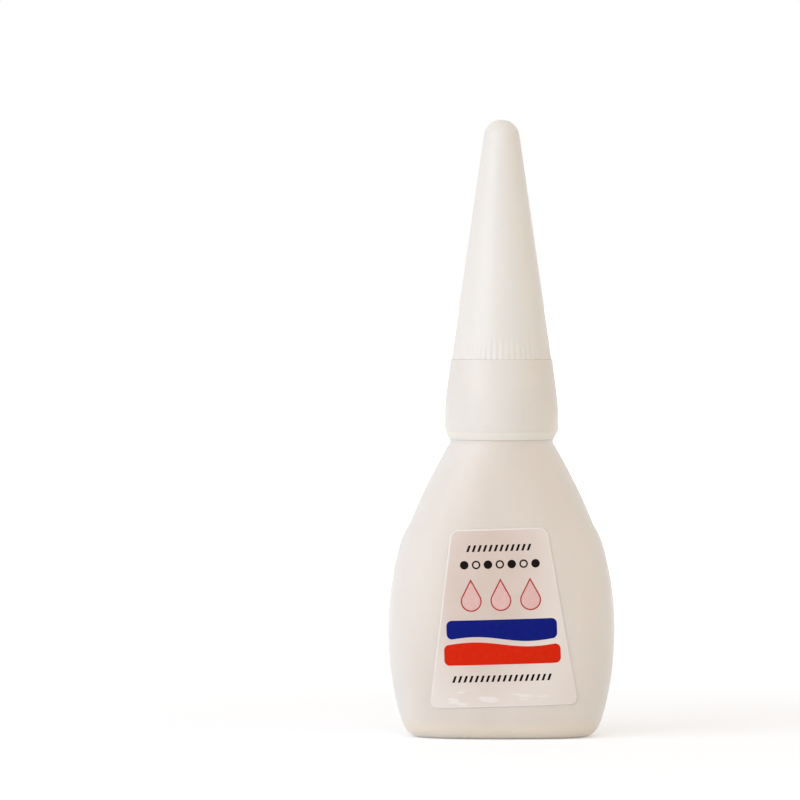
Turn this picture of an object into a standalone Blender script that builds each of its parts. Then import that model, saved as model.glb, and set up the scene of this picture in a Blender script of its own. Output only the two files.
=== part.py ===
"""Squeeze bottle of instant adhesive: oval flask, press-fitted nozzle, long conical screw cap.

Metres, +Z up. The label faces -Y, the flask is widest along X, and the origin is the middle of the
footprint. Every piece is one object; pieces that touch keep SEAT_GAP between their surfaces.
"""

import math

import bmesh
import bpy
from mathutils import Matrix, Vector

# Gap left wherever one piece bears on another
SEAT_GAP = 0.0003

# Flask, a blow-moulded shell of even wall
WALL = 0.0010
BELLY_WIDTH = 0.0386
BELLY_DEPTH = 0.0205
BELLY_HEIGHT = 0.0185
FRONT_SWEEP_BELOW = 0.057
FRONT_SWEEP_ABOVE = 0.051
SIDE_SWEEP = 0.130
BELLY_SQUARENESS = 2.6
SHOULDER_HEIGHT = 0.0344
SHOULDER_BLEND = 0.0013
SHOULDER_WAVE = 0.026
LAND_HEIGHT = 0.0507
LAND_BAND = 0.00075
LAND_EDGE = 0.0002
FOOT_RADIUS = 0.0036
FOOT_RING_WIDTH = 0.0016
PUSH_UP_SLOPE = 0.0016
PUSH_UP_HEIGHT = 0.0010

# Neck, with one snap bead that the nozzle's skirt clicks over
NECK_RADIUS = 0.0073
NECK_HEIGHT = 0.0123
LAND_WIDTH = 0.0015
MOUTH_CHAMFER = 0.0003
BEAD_DROP = 0.0051
BEAD_PROUD = 0.0006
BEAD_HEIGHT = 0.0012
BEAD_LEAD_IN = 0.0012

# Scar where the mould pinched the parison shut, in the hollow of the base
SCAR_LENGTH = 0.0150
SCAR_RADIUS = 0.00045

# Nozzle: skirt round the neck, deck, plug in the neck's bore, stub for the cap, spout
SKIRT_WALL = 0.00145
SKIRT_TAPER = 0.0010
SKIRT_TAPER_POWER = 1.25
SKIRT_FULL_HEIGHT = 0.0045
SKIRT_CHAMFER = 0.0006
SKIRT_CHAMFER_HEIGHT = 0.0013
DECK_THICKNESS = 0.0010
DECK_EDGE = 0.0003
PLUG_WALL = 0.0009
PLUG_DEPTH = 0.0045
STUB_HEIGHT = 0.0072
STUB_WALL = 0.0014
STUB_FILLET = 0.0005
SPOUT_BASE_RADIUS = 0.0041
SPOUT_TIP_WALL = 0.0008
SPOUT_LIP = 0.0003
SPOUT_WALL = 0.0011
OUTLET_LENGTH = 0.0080

# Cap: thin cone with a domed tip, closed end and fine grip grooves round its rim
CAP_HEIGHT = 0.0404
CAP_LEDGE = 0.0002
CAP_RIM_WALL = 0.00145
CAP_WALL = 0.0012
CAP_TIP_RADIUS = 0.0031
CAP_TIP_THICKNESS = 0.0060
CAP_RIM_CHAMFER = 0.0003
THREAD_ROOM = 0.0009
THREAD_RUN_OUT = 0.0006
GRIP_GROOVES = 52
GRIP_GROOVE_DEPTH = 0.00026
GRIP_GROOVE_HEIGHT = 0.0047

# Steel pin held in the cap's tip, which keeps the spout's outlet clear
PIN_RADIUS = 0.00035
PIN_LENGTH = 0.0130
PIN_POINT = 0.0012
PIN_SOCKET_DEPTH = 0.0033

# Adhesive inside and the label outside
FILL_HEIGHT = 0.0400
LABEL_TOP_WIDTH = 0.0162
LABEL_BOTTOM_WIDTH = 0.0251
LABEL_HEIGHT = 0.0301
LABEL_MIDDLE_HEIGHT = 0.0208
LABEL_CORNER_RADIUS = 0.0013
LABEL_TILT_DEGREES = 1.7
LABEL_THICKNESS = 0.00015
LABEL_GLUE = 0.0002

# Facets round each piece, and rows along the lofted ones: BODY_ROWS below the belly and above it
FLASK_SEGMENTS = 40
BODY_ROWS = 5
SHOULDER_ROWS = 6
CORNER_STEPS = 4
NOZZLE_SEGMENTS = 32
PIN_SEGMENTS = 12
SCAR_SEGMENTS = 12
GROOVE_SIDES = 6
LABEL_COLUMNS = 10
LABEL_ROWS = 9
DOME_STEPS = 5

# Heights and radii that follow from the sizes above
SHOULDER_END_HEIGHT = LAND_HEIGHT - LAND_BAND
LAND_RADIUS = NECK_RADIUS + LAND_WIDTH
NECK_BORE = NECK_RADIUS - WALL
MOUTH_HEIGHT = LAND_HEIGHT + NECK_HEIGHT
BEAD_TOP = MOUTH_HEIGHT - BEAD_DROP
BEAD_BOTTOM = BEAD_TOP - BEAD_LEAD_IN - BEAD_HEIGHT
BEAD_RADIUS = NECK_RADIUS + BEAD_PROUD
SKIRT_BOTTOM = LAND_HEIGHT + SEAT_GAP
DECK_BOTTOM = MOUTH_HEIGHT + SEAT_GAP
DECK_TOP = DECK_BOTTOM + DECK_THICKNESS
SKIRT_RADIUS = BEAD_RADIUS + SEAT_GAP + SKIRT_WALL
SKIRT_TOP_RADIUS = SKIRT_RADIUS - SKIRT_TAPER
CAP_RIM_HEIGHT = DECK_TOP + SEAT_GAP
CAP_RIM_RADIUS = SKIRT_TOP_RADIUS - CAP_LEDGE
CAP_BORE = CAP_RIM_RADIUS - CAP_RIM_WALL
STUB_RADIUS = CAP_BORE - THREAD_ROOM
STUB_TOP = DECK_TOP + STUB_HEIGHT
CAP_SEAT = CAP_HEIGHT - CAP_TIP_THICKNESS
SPOUT_TOP = CAP_RIM_HEIGHT + CAP_SEAT - SEAT_GAP
OUTLET_RADIUS = PIN_RADIUS + SEAT_GAP


def clear_scene():
    for obj in list(bpy.data.objects):
        bpy.data.objects.remove(obj)


def collection(name):
    made = bpy.data.collections.new(name)
    bpy.context.scene.collection.children.link(made)
    return made


def material(name, colour, roughness, metallic=0.0, alpha=1.0):
    made = bpy.data.materials.new(name)
    made.use_nodes = True
    shader = made.node_tree.nodes["Principled BSDF"]
    shader.inputs["Base Color"].default_value = (*colour, 1.0)
    shader.inputs["Roughness"].default_value = roughness
    shader.inputs["Metallic"].default_value = metallic
    shader.inputs["Alpha"].default_value = alpha
    return made


def add_object(name, mesh, home, finish=None):
    made = bpy.data.objects.new(name, mesh)
    home.objects.link(made)
    if finish:
        mesh.materials.append(finish)
    return made


def add_cutter(name, mesh, home):
    made = add_object(name, mesh, home)
    made.hide_render = True
    made.display_type = "WIRE"
    return made


def boolean(target, tool, operation):
    modifier = target.modifiers.new(tool.name, "BOOLEAN")
    modifier.object = tool
    modifier.operation = operation
    modifier.solver = "EXACT"


def arc(centre, radius, start, end, steps):
    """Points (radius, height) along a round stretch of a profile, angles in degrees."""
    points = []
    for step in range(steps + 1):
        angle = math.radians(start + (end - start) * step / steps)
        points.append((centre[0] + radius * math.cos(angle), centre[1] + radius * math.sin(angle)))
    return points


def add_turned(name, profile, segments, closed, home, finish):
    """Object turned about Z from its profile; a closed profile is a ring that stays off the axis."""
    mesh = bpy.data.meshes.new(name)
    edges = [(i, i + 1) for i in range(len(profile) - 1)]
    if closed:
        edges.append((len(profile) - 1, 0))
    mesh.from_pydata([(radius, 0.0, height) for radius, height in profile], edges, [])
    made = add_object(name, mesh, home, finish)
    screw = made.modifiers.new("turn", "SCREW")
    screw.axis = "Z"
    screw.angle = math.tau
    screw.steps = segments
    screw.render_steps = segments
    screw.use_merge_vertices = True
    screw.merge_threshold = 0.00001
    screw.use_smooth_shade = True
    return made


def swept_half(half, below, above, height):
    """Half a width of the flask below the shoulder: long arcs that meet at the belly's height."""
    sweep = below if height < BELLY_HEIGHT else above
    return half - sweep + math.sqrt(sweep**2 - (height - BELLY_HEIGHT) ** 2)


def flask_half(half, below, above, height):
    """Half a width of the flask at a height: belly arcs, short blend, shoulder up to the neck.

    The shoulder is drawn in just above its corner and swells again below the neck.
    """
    at_shoulder = swept_half(half, below, above, SHOULDER_HEIGHT)

    def shoulder(level):
        share = (level - SHOULDER_HEIGHT) / (SHOULDER_END_HEIGHT - SHOULDER_HEIGHT)
        wave = SHOULDER_WAVE * math.sin(math.tau * math.sqrt(share))
        return at_shoulder - (at_shoulder - LAND_RADIUS) * (share + wave)

    low = SHOULDER_HEIGHT - SHOULDER_BLEND
    high = SHOULDER_HEIGHT + SHOULDER_BLEND
    if height <= low:
        return swept_half(half, below, above, height)
    if height >= high:
        return shoulder(height)
    t = (height - low) / (high - low)
    ends = (1 - t) ** 2 * swept_half(half, below, above, low) + t**2 * shoulder(high)
    return ends + 2 * t * (1 - t) * at_shoulder


def half_width(height):
    return flask_half(BELLY_WIDTH / 2, FRONT_SWEEP_BELOW, FRONT_SWEEP_ABOVE, height)


def half_depth(height):
    return flask_half(BELLY_DEPTH / 2, SIDE_SWEEP, SIDE_SWEEP, height)


def squareness(height):
    """Superellipse exponent of the section: squarish at the belly, a plain circle at the neck."""
    share = (height - BELLY_HEIGHT) / (SHOULDER_END_HEIGHT - BELLY_HEIGHT)
    share = min(max(share, 0.0), 1.0)
    return BELLY_SQUARENESS + (2.0 - BELLY_SQUARENESS) * share**2 * (3 - 2 * share)


def section(across, along, exponent, height):
    """One ring of a loft, a superellipse of half sizes across X and along Y."""
    ring = []
    for step in range(FLASK_SEGMENTS):
        angle = math.tau * step / FLASK_SEGMENTS
        x, y = math.cos(angle), math.sin(angle)
        reach = (abs(x) ** exponent + abs(y) ** exponent) ** (-1.0 / exponent)
        ring.append(Vector((across * reach * x, along * reach * y, height)))
    return ring


def circle(radius, height):
    return section(radius, radius, 2.0, height)


def foot_section(inset, height):
    """A ring of the base, drawn in from the foot of the side wall."""
    across = half_width(FOOT_RADIUS) - inset
    along = half_depth(FOOT_RADIUS) - inset
    return section(across, along, BELLY_SQUARENESS, height)


def spread(low, high, count):
    return [low + (high - low) * step / count for step in range(count + 1)]


def flask_rings(inset, top):
    """Rings of the flask's surface, drawn in by inset, from the middle of the base up to a height."""
    ring_edge = FOOT_RADIUS + FOOT_RING_WIDTH
    rings = [
        foot_section(ring_edge + PUSH_UP_SLOPE, inset + PUSH_UP_HEIGHT),
        foot_section(ring_edge + PUSH_UP_SLOPE / 2, inset + PUSH_UP_HEIGHT * 0.7),
        foot_section(ring_edge, inset),
    ]
    corner = max(FOOT_RADIUS - inset, FOOT_RADIUS / 10)
    for step in range(CORNER_STEPS + 1):
        angle = math.radians(90.0 * step / CORNER_STEPS)
        rise = corner * (1 - math.cos(angle))
        rings.append(foot_section(FOOT_RADIUS - corner * math.sin(angle), FOOT_RADIUS - corner + rise))
    low = SHOULDER_HEIGHT - SHOULDER_BLEND
    high = SHOULDER_HEIGHT + SHOULDER_BLEND
    heights = spread(FOOT_RADIUS, BELLY_HEIGHT, BODY_ROWS)[1:] + spread(BELLY_HEIGHT, low, BODY_ROWS)[1:]
    heights += [SHOULDER_HEIGHT] + spread(high, SHOULDER_END_HEIGHT, SHOULDER_ROWS)
    heights = [height for height in heights if height < top - SHOULDER_BLEND / 2] + [top]
    for height in heights:
        across = half_width(height) - inset
        along = half_depth(height) - inset
        rings.append(section(across, along, squareness(height), height))
    return rings


def neck_rings():
    """Rings of the land and of the neck with its snap bead, up to the mouth."""
    outline = [
        (LAND_RADIUS, LAND_HEIGHT - LAND_EDGE),
        (LAND_RADIUS - LAND_EDGE, LAND_HEIGHT),
        (NECK_RADIUS, LAND_HEIGHT),
        (NECK_RADIUS, BEAD_BOTTOM),
        (BEAD_RADIUS, BEAD_BOTTOM),
        (BEAD_RADIUS, BEAD_TOP - BEAD_LEAD_IN),
        (NECK_RADIUS, BEAD_TOP),
        (NECK_RADIUS, MOUTH_HEIGHT - MOUTH_CHAMFER),
        (NECK_RADIUS - MOUTH_CHAMFER, MOUTH_HEIGHT),
    ]
    return [circle(radius, height) for radius, height in outline]


def loft(name, rings):
    """Closed mesh through rings of equal count, with a flat face over the first and the last."""
    bm = bmesh.new()
    rows = [[bm.verts.new(point) for point in ring] for ring in rings]
    count = len(rings[0])
    for low, high in zip(rows, rows[1:]):
        for i in range(count):
            bm.faces.new((low[i], low[(i + 1) % count], high[(i + 1) % count], high[i]))
    bm.faces.new(reversed(rows[0]))
    bm.faces.new(rows[-1])
    bmesh.ops.recalc_face_normals(bm, faces=bm.faces)
    mesh = bpy.data.meshes.new(name)
    bm.to_mesh(mesh)
    bm.free()
    mesh.shade_smooth()
    mesh.set_sharp_from_angle(angle=math.radians(35))
    return mesh


def build_bottle(home, tools, finish):
    """The flask with its neck, hollowed by the cavity, and the mould's scar under the base."""
    outside = flask_rings(0.0, SHOULDER_END_HEIGHT) + neck_rings()
    bottle = add_object("bottle", loft("bottle", outside), home, finish)
    inside = flask_rings(WALL, SHOULDER_END_HEIGHT - WALL)
    inside += [circle(NECK_BORE, LAND_HEIGHT - WALL / 2), circle(NECK_BORE, MOUTH_HEIGHT + WALL)]
    cavity = add_cutter("cavity", loft("cavity", inside), tools)
    boolean(bottle, cavity, "DIFFERENCE")
    bm = bmesh.new()
    bmesh.ops.create_uvsphere(bm, u_segments=SCAR_SEGMENTS, v_segments=SCAR_SEGMENTS, radius=1.0)
    bmesh.ops.scale(bm, vec=(SCAR_RADIUS, SCAR_RADIUS, SCAR_LENGTH / 2), verts=bm.verts)
    mesh = bpy.data.meshes.new("pinch_scar")
    bm.to_mesh(mesh)
    bm.free()
    scar = add_cutter("pinch_scar", mesh, tools)
    scar.location = (0.0, 0.0, PUSH_UP_HEIGHT)
    scar.rotation_euler = (0.0, math.radians(90.0), 0.0)
    boolean(bottle, scar, "UNION")
    return bottle


def build_nozzle(home, finish):
    clear = NECK_RADIUS + SEAT_GAP
    groove = BEAD_RADIUS + SEAT_GAP
    groove_bottom = BEAD_BOTTOM - SEAT_GAP
    plug_outer = NECK_BORE - SEAT_GAP
    plug_inner = plug_outer - PLUG_WALL
    plug_bottom = DECK_BOTTOM - PLUG_DEPTH
    stub_inner = STUB_RADIUS - STUB_WALL
    full = SKIRT_BOTTOM + SKIRT_FULL_HEIGHT
    spout_tip = OUTLET_RADIUS + SPOUT_TIP_WALL
    profile = [
        (OUTLET_RADIUS, SPOUT_TOP),
        (spout_tip - SPOUT_LIP, SPOUT_TOP),
        (spout_tip, SPOUT_TOP - SPOUT_LIP),
        (SPOUT_BASE_RADIUS, STUB_TOP + STUB_FILLET),
        (SPOUT_BASE_RADIUS + STUB_FILLET, STUB_TOP),
        (STUB_RADIUS - STUB_FILLET, STUB_TOP),
        (STUB_RADIUS, STUB_TOP - STUB_FILLET),
        (STUB_RADIUS, DECK_TOP),
    ]
    edge_centre = (SKIRT_TOP_RADIUS - DECK_EDGE, DECK_TOP - DECK_EDGE)
    profile += arc(edge_centre, DECK_EDGE, 90.0, 0.0, 2)
    taper_height = DECK_TOP - DECK_EDGE - full
    for step in (1, 2, 3):
        share = step / 4
        radius = SKIRT_RADIUS - SKIRT_TAPER * (1 - share) ** SKIRT_TAPER_POWER
        profile.append((radius, DECK_TOP - DECK_EDGE - taper_height * share))
    profile += [
        (SKIRT_RADIUS, full),
        (SKIRT_RADIUS, SKIRT_BOTTOM + SKIRT_CHAMFER_HEIGHT),
        (SKIRT_RADIUS - SKIRT_CHAMFER, SKIRT_BOTTOM),
        (clear, SKIRT_BOTTOM),
        (clear, groove_bottom - BEAD_PROUD),
        (groove, groove_bottom),
        (groove, BEAD_TOP - BEAD_LEAD_IN + SEAT_GAP),
        (clear, BEAD_TOP + SEAT_GAP),
        (clear, DECK_BOTTOM),
        (plug_outer, DECK_BOTTOM),
        (plug_outer, plug_bottom + PLUG_WALL / 2),
        (plug_outer - PLUG_WALL / 3, plug_bottom),
        (plug_inner, plug_bottom),
        (plug_inner, DECK_BOTTOM),
        (stub_inner, DECK_TOP),
        (stub_inner, STUB_TOP - STUB_WALL - STUB_FILLET),
        (SPOUT_BASE_RADIUS - SPOUT_WALL, STUB_TOP + STUB_FILLET),
        (OUTLET_RADIUS, SPOUT_TOP - OUTLET_LENGTH),
    ]
    return add_turned("nozzle", profile, NOZZLE_SEGMENTS, True, home, finish)


def cone_slope():
    """Lean of the cap's side from upright, in radians."""
    return math.atan2(CAP_RIM_RADIUS - CAP_TIP_RADIUS, CAP_HEIGHT - CAP_TIP_RADIUS)


def cone_radius(height):
    """Outside radius of the cap at a height above its rim."""
    return CAP_RIM_RADIUS - math.tan(cone_slope()) * height


def add_groove_cutter(tools):
    """One cutter that holds every grip groove: slender cones laid along the cap's side."""
    middle = GRIP_GROOVE_HEIGHT * 0.45
    flat = cone_radius(middle) * math.cos(math.pi / GRIP_GROOVES)
    lay = Matrix.Translation((flat, 0.0, middle)) @ Matrix.Rotation(-cone_slope(), 4, "Y")
    bm = bmesh.new()
    for index in range(GRIP_GROOVES):
        turn = Matrix.Rotation(math.tau * (index + 0.5) / GRIP_GROOVES, 4, "Z")
        bmesh.ops.create_cone(
            bm,
            cap_ends=True,
            segments=GROOVE_SIDES,
            radius1=GRIP_GROOVE_DEPTH,
            radius2=GRIP_GROOVE_DEPTH / 20,
            depth=GRIP_GROOVE_HEIGHT * 1.1,
            matrix=turn @ lay,
        )
    mesh = bpy.data.meshes.new("grip_grooves")
    bm.to_mesh(mesh)
    bm.free()
    return add_cutter("grip_grooves", mesh, tools)


def build_cap(home, tools, finish):
    """The cap, drawn from its rim, which sits at its object's origin on the screw axis."""
    inside = CAP_WALL / math.cos(cone_slope())
    bore_top = STUB_TOP + SEAT_GAP - CAP_RIM_HEIGHT
    run_out = bore_top + THREAD_RUN_OUT
    socket = PIN_RADIUS + SEAT_GAP
    socket_top = CAP_SEAT + PIN_SOCKET_DEPTH
    dome_centre = (0.0, CAP_HEIGHT - CAP_TIP_RADIUS)
    grip_top = GRIP_GROOVE_HEIGHT * 1.1
    profile = [(0.0, CAP_HEIGHT)]
    profile += arc(dome_centre, CAP_TIP_RADIUS, 90.0, math.degrees(cone_slope()), DOME_STEPS)[1:]
    profile += [
        (cone_radius(grip_top), grip_top),
        (CAP_RIM_RADIUS, 0.0),
        (CAP_BORE + CAP_RIM_CHAMFER, 0.0),
        (CAP_BORE, CAP_RIM_CHAMFER),
        (CAP_BORE, bore_top),
        (cone_radius(run_out) - inside, run_out),
        (cone_radius(CAP_SEAT) - inside, CAP_SEAT),
        (socket, CAP_SEAT),
        (socket, socket_top),
        (0.0, socket_top),
    ]
    cap = add_turned("cap", profile, GRIP_GROOVES, False, home, finish)
    cutter = add_groove_cutter(tools)
    boolean(cap, cutter, "DIFFERENCE")
    return cap, cutter


def build_pin(home, finish):
    """The pin, drawn from the cap's rim like the cap."""
    top = CAP_SEAT + PIN_SOCKET_DEPTH - SEAT_GAP
    bottom = top - PIN_LENGTH
    profile = [
        (0.0, top),
        (PIN_RADIUS, top),
        (PIN_RADIUS, bottom + PIN_POINT),
        (0.0, bottom),
    ]
    return add_turned("cap_pin", profile, PIN_SEGMENTS, False, home, finish)


def build_adhesive(home, finish):
    """The liquid: the flask's own shape inside the wall, level at the fill."""
    rings = flask_rings(WALL + SEAT_GAP, FILL_HEIGHT)
    return add_object("adhesive", loft("adhesive", rings), home, finish)


def front_point(x, height, stand_off):
    """Point over the flask's front at X and a height, that far off its surface."""
    across, along, exponent = half_width(height), half_depth(height), squareness(height)
    share = min(abs(x) / across, 0.999)
    depth = along * (1 - share**exponent) ** (1 / exponent)
    steep = math.copysign((share ** (exponent - 1)) / across, x)
    facing = ((depth / along) ** (exponent - 1)) / along
    length = math.hypot(steep, facing)
    return Vector(
        (x + stand_off * steep / length, -depth - stand_off * facing / length, height)
    )


def label_half_width(rise):
    """Half the label's width at a rise above its lower edge, with the corners rounded."""
    half = LABEL_BOTTOM_WIDTH / 2 + (LABEL_TOP_WIDTH - LABEL_BOTTOM_WIDTH) / 2 * rise / LABEL_HEIGHT
    from_end = min(rise, LABEL_HEIGHT - rise)
    if from_end < LABEL_CORNER_RADIUS:
        left = LABEL_CORNER_RADIUS - from_end
        half -= LABEL_CORNER_RADIUS - math.sqrt(LABEL_CORNER_RADIUS**2 - left**2)
    return half


def label_rises():
    """Heights of the label's rows: close together round the corners, even between them."""
    corner = [
        LABEL_CORNER_RADIUS * (1 - math.cos(math.radians(90.0 * step / CORNER_STEPS)))
        for step in range(CORNER_STEPS)
    ]
    rises = list(corner)
    rises += spread(LABEL_CORNER_RADIUS, LABEL_HEIGHT - LABEL_CORNER_RADIUS, LABEL_ROWS)
    rises += [LABEL_HEIGHT - rise for rise in reversed(corner)]
    return rises


def build_label(home, finish):
    """The trapezoid sticker: a grid bent over the flask's front, thickened outwards."""
    rises = label_rises()
    tilt = math.radians(LABEL_TILT_DEGREES)
    bm = bmesh.new()
    bmesh.ops.create_grid(bm, x_segments=LABEL_COLUMNS, y_segments=len(rises) - 1, size=1.0)
    for vert in bm.verts:
        row = round((vert.co.y + 1) / 2 * (len(rises) - 1))
        across = vert.co.x * label_half_width(rises[row])
        up = rises[row] - LABEL_HEIGHT / 2
        x = across * math.cos(tilt) - up * math.sin(tilt)
        height = LABEL_MIDDLE_HEIGHT + across * math.sin(tilt) + up * math.cos(tilt)
        vert.co = front_point(x, height, LABEL_GLUE)
    mesh = bpy.data.meshes.new("front_label")
    bm.to_mesh(mesh)
    bm.free()
    label = add_object("front_label", mesh, home, finish)
    film = label.modifiers.new("film", "SOLIDIFY")
    film.thickness = LABEL_THICKNESS
    film.offset = 1.0
    film.use_even_offset = True
    return label


def axis_empty(name, height, home, parent=None):
    made = bpy.data.objects.new(name, None)
    home.objects.link(made)
    made.parent = parent
    made.location = (0.0, 0.0, height)
    return made


def main():
    clear_scene()
    parts = collection("glue_bottle")
    tools = collection("cutters")
    natural = material("natural_polyethylene", (0.86, 0.82, 0.76), 0.45)
    white = material("white_polypropylene", (0.90, 0.87, 0.82), 0.38)
    film = material("label_film", (0.80, 0.76, 0.75), 0.35)
    steel = material("steel", (0.62, 0.62, 0.63), 0.25, metallic=1.0)
    liquid = material("adhesive_liquid", (0.93, 0.93, 0.88), 0.05, alpha=0.4)

    build_bottle(parts, tools, natural)
    build_nozzle(parts, natural)
    build_adhesive(parts, liquid)
    build_label(parts, film)

    lift = axis_empty("cap_lift_axis", CAP_RIM_HEIGHT, parts)
    turn = axis_empty("cap_turn_axis", 0.0, parts, parent=lift)
    build_pin(parts, steel).parent = lift
    cap, cutter = build_cap(parts, tools, white)
    cap.parent = turn
    cutter.parent = turn


main()
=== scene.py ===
"""Dressed glue bottle: fine flask, nozzle, ribbed cap, needle, adhesive and printed label.

Lengths are millimetres until a mesh is made, which turns them into metres. Materials, lights
and the camera are in metres. Angles that end in _DEG are degrees.
"""

import math

import bmesh
import bpy
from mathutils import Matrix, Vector


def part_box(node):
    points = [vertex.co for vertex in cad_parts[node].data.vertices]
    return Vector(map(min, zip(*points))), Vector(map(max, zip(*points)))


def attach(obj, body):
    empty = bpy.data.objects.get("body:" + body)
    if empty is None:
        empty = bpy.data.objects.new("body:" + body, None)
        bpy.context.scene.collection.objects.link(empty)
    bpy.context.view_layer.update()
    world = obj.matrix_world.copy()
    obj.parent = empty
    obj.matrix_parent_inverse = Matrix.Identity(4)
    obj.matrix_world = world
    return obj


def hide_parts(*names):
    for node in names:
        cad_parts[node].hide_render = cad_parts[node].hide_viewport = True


MM = 0.001
TAU = math.tau

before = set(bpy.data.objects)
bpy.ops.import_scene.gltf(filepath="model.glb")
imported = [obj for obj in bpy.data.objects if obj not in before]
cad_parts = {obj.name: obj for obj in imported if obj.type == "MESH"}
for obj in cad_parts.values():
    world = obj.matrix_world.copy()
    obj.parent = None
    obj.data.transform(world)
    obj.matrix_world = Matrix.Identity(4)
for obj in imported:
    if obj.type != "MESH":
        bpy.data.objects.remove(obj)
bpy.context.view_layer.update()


def in_mm(length):
    """Length from the frame in millimetres, without the frame's rounding noise."""
    return round(length / MM, 4)


# Corners of the CAD nodes that set sizes below
bottle_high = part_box("bottle")[1]
nozzle_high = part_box("nozzle")[1]
adhesive_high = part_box("adhesive")[1]
cap_low, cap_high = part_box("cap")
pin_low, pin_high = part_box("cap_pin")

# Room that the solids keep from each other
CLEARANCE = 0.3

# Flask: arcs below and above its belly, nearly straight shoulders, a hollow base
WALL = 1.0
SEAM_PROUD = 0.07
SEAM_WIDTH_DEG = 0.55
SEAM_OFFSETS_DEG = (0.35, 0.7, 1.2)
WAVE = 0.035
WAVE_ROOM = 0.02
BELLY_HALF_WIDTH = in_mm(bottle_high.x) - SEAM_PROUD - WAVE_ROOM
BELLY_HALF_DEPTH = in_mm(bottle_high.y)
BELLY_Z = 18.5
BELLY_SQUARENESS = 2.6
FRONT_SWEEP_BELOW = 57.0
FRONT_SWEEP_ABOVE = 51.0
SIDE_SWEEP = 130.0
SHOULDER_Z = 34.4
SHOULDER_BLEND = 1.6
SHOULDER_CREST = 0.03
SHOULDER_WAVE = 0.026
SHOULDER_END_Z = 49.95
SHOULDER_END_BLEND = 0.25
RING_GAP = 0.3
LAND_Z = 50.7
LAND_RADIUS = 8.8
FOOT_RADIUS = 3.6
FOOT_TOP_Z = 4.6
FOOT_PULL_OUT = 2.4
FOOT_PULL_UP = 3.0
FOOT_RING_INNER = 5.2
PUSH_UP_INNER = 6.8
PUSH_UP_HEIGHT = 1.0

# Pinch scar under the base
SCAR_LENGTH = 15.0
SCAR_HEIGHT = 0.42
SCAR_END_HEIGHT = 0.05
SCAR_HALF_WIDTH = 0.3
SCAR_END_HALF_WIDTH = 0.06
SCAR_RAGGED = 0.18
SCAR_STEPS = 48
SCAR_SIDES = 12

# Neck with its snap bead
NECK_RADIUS = 7.3
NECK_BORE = 6.3
MOUTH_Z = in_mm(bottle_high.z)
BEAD_RADIUS = 7.9
BEAD_LOW_Z = 55.5
BEAD_HIGH_Z = 56.7
BEAD_END_Z = 57.9

# Adhesive, which climbs a little at the wall
FILL_Z = in_mm(adhesive_high.z)
FILL_GAP = 0.02
MENISCUS_RISE = 0.55
MENISCUS_REACH = 0.7
MENISCUS_STEPS = (0.1, 0.25, 0.5, 0.8, 1.2, 1.7, 2.4, 3.4, 5.0)

# Cap: its heights are counted from the CAD rim, and the rim made here hangs a little lower
CAP_RIM_Z = in_mm(cap_low.z)
CAP_RIM_RADIUS = in_mm(cap_high.x)
CAP_HEIGHT = in_mm(cap_high.z - cap_low.z)
CAP_TIP_RADIUS = 3.1
DOME_END_DEG = 84
RIM_DROP = 0.285
RIM_BREAK = 0.07
CAP_MOUTH = 7.3
CAP_BORE = 7.0
CAP_BORE_HEIGHT = 7.2
CAP_CONE_RADIUS = 6.1
CAP_CONE_FOOT = 7.8
CAP_SEAT = 34.4
CAP_SEAT_RADIUS = 2.29
SOCKET_DEPTH = 3.3
GATE_RADIUS = 0.26
GATE_DEPTH = 0.1
GROOVES = 52
GROOVE_DEPTH = 0.10
GROOVE_HEIGHT = 5.0
GROOVE_FULL_HEIGHT = 0.4
GROOVE_SHARPNESS = 1.4
OUTER_SKIN = 0.35
AXIS_RADIUS = 0.05

# Pin in the cap
PIN_RADIUS = in_mm(pin_high.x)
PIN_LOW_Z = in_mm(pin_low.z)
PIN_HIGH_Z = in_mm(pin_high.z)

# Nozzle: skirt over the neck, deck, plug in the bore, stub for the cap, spout
SKIRT_RADIUS = in_mm(nozzle_high.x)
SKIRT_TOP_RADIUS = 8.65
SKIRT_BOTTOM = LAND_Z + 0.01
SKIRT_FULL_Z = 55.5
SKIRT_FOOT_DRAW = 0.7
SKIRT_FOOT_HEIGHT = 1.45
SKIRT_CURVE = 1.25
SKIRT_BORE = NECK_RADIUS + CLEARANCE
SNAP_RADIUS = BEAD_RADIUS + CLEARANCE
DECK_BOTTOM = MOUTH_Z + CLEARANCE
DECK_TOP = CAP_RIM_Z - CLEARANCE
PLUG_RADIUS = NECK_BORE - CLEARANCE
PLUG_BORE = 5.1
PLUG_BOTTOM = 58.8
PLUG_LEAD_IN = 0.3
THROAT_RADIUS = 4.7
THROAT_TOP = 69.6
TAPER_RADIUS = 3.0
TAPER_FOOT_Z = 72.0
STUB_RADIUS = 6.1
STUB_TOP = 71.5
SPOUT_FOOT_RADIUS = 4.1
SPOUT_TIP_RADIUS = 1.45
SPOUT_TOP = in_mm(nozzle_high.z)
OUTLET_RADIUS = 0.65
OUTLET_LENGTH = 8.0

# Screw thread of stub and cap: a ridge whose height and thickness fall away at both ends
THREAD_LEAD = 2.4
THREAD_TURNS = 2.0
THREAD_STEPS_PER_TURN = 96
THREAD_START_Z = 65.5
THREAD_FOOT = 0.5
THREAD_LAND = 0.24
THREAD_SUNK = 0.08
THREAD_RUN_OUTS_PER_TURN = 6.0
THREAD_END_HEIGHT = 0.02
THREAD_END_THICKNESS = 0.4
STUB_CREST = 6.66
BORE_CREST = 6.46

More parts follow.
